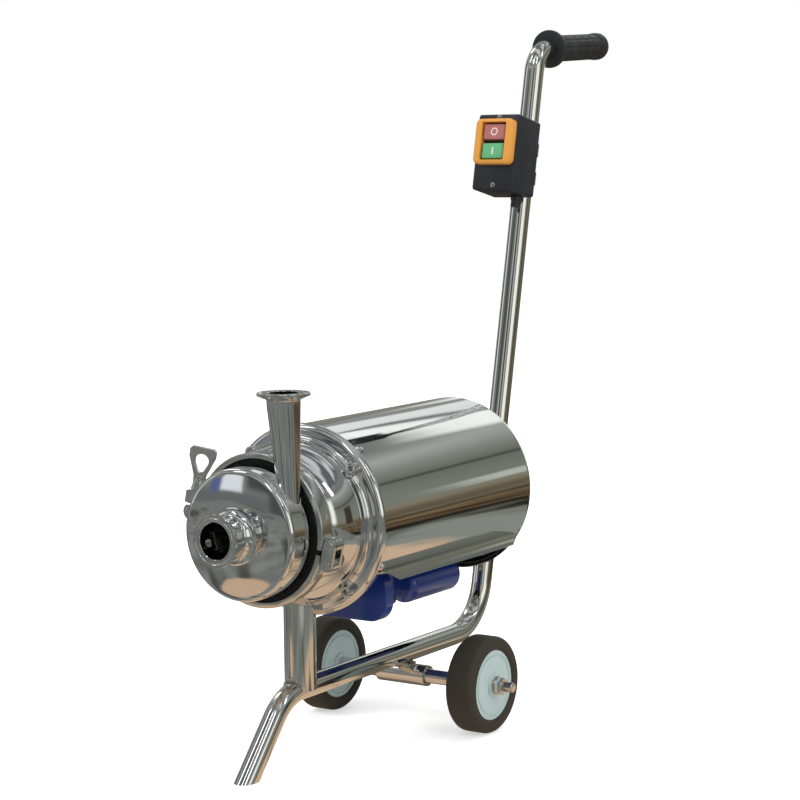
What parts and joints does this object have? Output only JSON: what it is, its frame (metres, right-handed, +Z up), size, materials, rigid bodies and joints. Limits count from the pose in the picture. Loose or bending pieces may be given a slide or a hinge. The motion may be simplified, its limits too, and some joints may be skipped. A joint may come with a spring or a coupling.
{
  "type": "sanitary centrifugal pump on a hand cart",
  "caption": "Mirror-polished sanitary centrifugal pump with a hooded electric motor on a two-wheeled tube cart with a handle and switch box.",
  "frame": {"origin": "on the floor under the middle of the cart's overall box", "axes": "+Z up, -Y out of the pump's inlet, +X towards the discharge pipe's side"},
  "size_m": [0.2662, 0.7496, 0.7295],
  "materials": {
    "polished_steel": "mirror-polished stainless steel",
    "cast_steel": "cast and tumbled stainless steel",
    "bright_fasteners": "turned bright steel",
    "seal_rubber": "black moulded rubber",
    "carbon": "lapped carbon",
    "ceramic": "lapped ceramic",
    "motor_blue": "navy blue enamel",
    "core_iron": "stacked sheet iron",
    "copper": "varnished copper wire",
    "fan_plastic": "dark moulded plastic",
    "black_plastic": "fine grained black plastic",
    "wheel_grey": "pale grey moulded plastic",
    "tyre_rubber": "dark grey solid rubber",
    "bezel_orange": "smooth orange plastic",
    "stop_red": "dusty red plastic",
    "start_green": "green plastic"
  },
  "bodies": {
    "cart": {"inlet_nozzle": "polished_steel", "pump_casing": "polished_steel", "discharge_pipe": "polished_steel", "outlet_ferrule": "polished_steel", "back_plate": "polished_steel", "adapter_bell": "polished_steel", "motor_hood": "polished_steel", "hood_end_cap": "polished_steel", "cart_tube": "polished_steel", "support_post": "polished_steel", "axle_tube": "polished_steel", "clamp_upper_half": "cast_steel", "clamp_lower_half": "cast_steel", "clamp_hinge_links": "cast_steel", "clamp_pins": "bright_fasteners", "flange_screws": "bright_fasteners", "flange_nuts": "bright_fasteners", "hood_screws": "bright_fasteners", "axle_rod": "bright_fasteners", "axle_plugs": "bright_fasteners", "axle_washers": "bright_fasteners", "axle_nuts": "bright_fasteners", "front_bearing": "bright_fasteners", "rear_bearing": "bright_fasteners", "casing_gasket": "seal_rubber", "handle_grip": "seal_rubber", "seal_seat": "ceramic", "motor_front_shield": "motor_blue", "motor_barrel": "motor_blue", "motor_rear_shield": "motor_blue", "terminal_box": "motor_blue", "terminal_lid": "motor_blue", "capacitor_cover": "motor_blue", "stator_core": "core_iron", "stator_coils": "copper", "motor_gland": "black_plastic", "switch_base": "black_plastic", "switch_housing": "black_plastic", "contact_block": "black_plastic", "box_saddle": "black_plastic", "switch_gland": "black_plastic", "switch_bezel": "bezel_orange"},
    "rotor": {"pump_shaft": "bright_fasteners", "impeller": "cast_steel", "impeller_nut": "bright_fasteners", "seal_bellows": "seal_rubber", "seal_ring": "carbon", "rotor_core": "core_iron", "motor_shaft": "bright_fasteners", "cooling_fan": "fan_plastic"},
    "right_wheel": {"tyre_right": "tyre_rubber", "hub_right": "wheel_grey"},
    "left_wheel": {"tyre_left": "tyre_rubber", "hub_left": "wheel_grey"},
    "bolt_arm": {"swing_bolt": "bright_fasteners"},
    "nut_loop": {"wing_nut": "cast_steel"},
    "stop_key": {"stop_button": "stop_red"},
    "start_key": {"start_button": "start_green"}
  },
  "joints": [
    {"name": "right_wheel_spin", "type": "hinge", "parent": "cart", "child": "right_wheel", "pos_m": [0.0956, -0.0573, 0.05], "axis": [1, 0, 0], "continuous": true},
    {"name": "left_wheel_spin", "type": "hinge", "parent": "cart", "child": "left_wheel", "pos_m": [-0.0956, -0.0573, 0.05], "axis": [1, 0, 0], "continuous": true},
    {"name": "rotor_spin", "type": "hinge", "parent": "cart", "child": "rotor", "pos_m": [0, -0.2148, 0.2385], "axis": [0, 1, 0], "continuous": true},
    {"name": "bolt_swing", "type": "hinge", "parent": "cart", "child": "bolt_arm", "pos_m": [-0.08233, -0.29992, 0.25038], "axis": [0, -1, 0], "range_deg": [0, 100]},
    {"name": "nut_turn", "type": "hinge", "parent": "bolt_arm", "child": "nut_loop", "pos_m": [-0.07692, -0.29992, 0.27581], "axis": [0.2079, 0, 0.9781], "continuous": true},
    {"name": "stop_press", "type": "slide", "parent": "cart", "child": "stop_key", "axis": [0, 0.977, -0.213], "range_m": [0, 0.003], "stiffness_N_per_m": 400},
    {"name": "start_press", "type": "slide", "parent": "cart", "child": "start_key", "axis": [0, 0.977, -0.213], "range_m": [0, 0.003], "stiffness_N_per_m": 400}
  ]
}
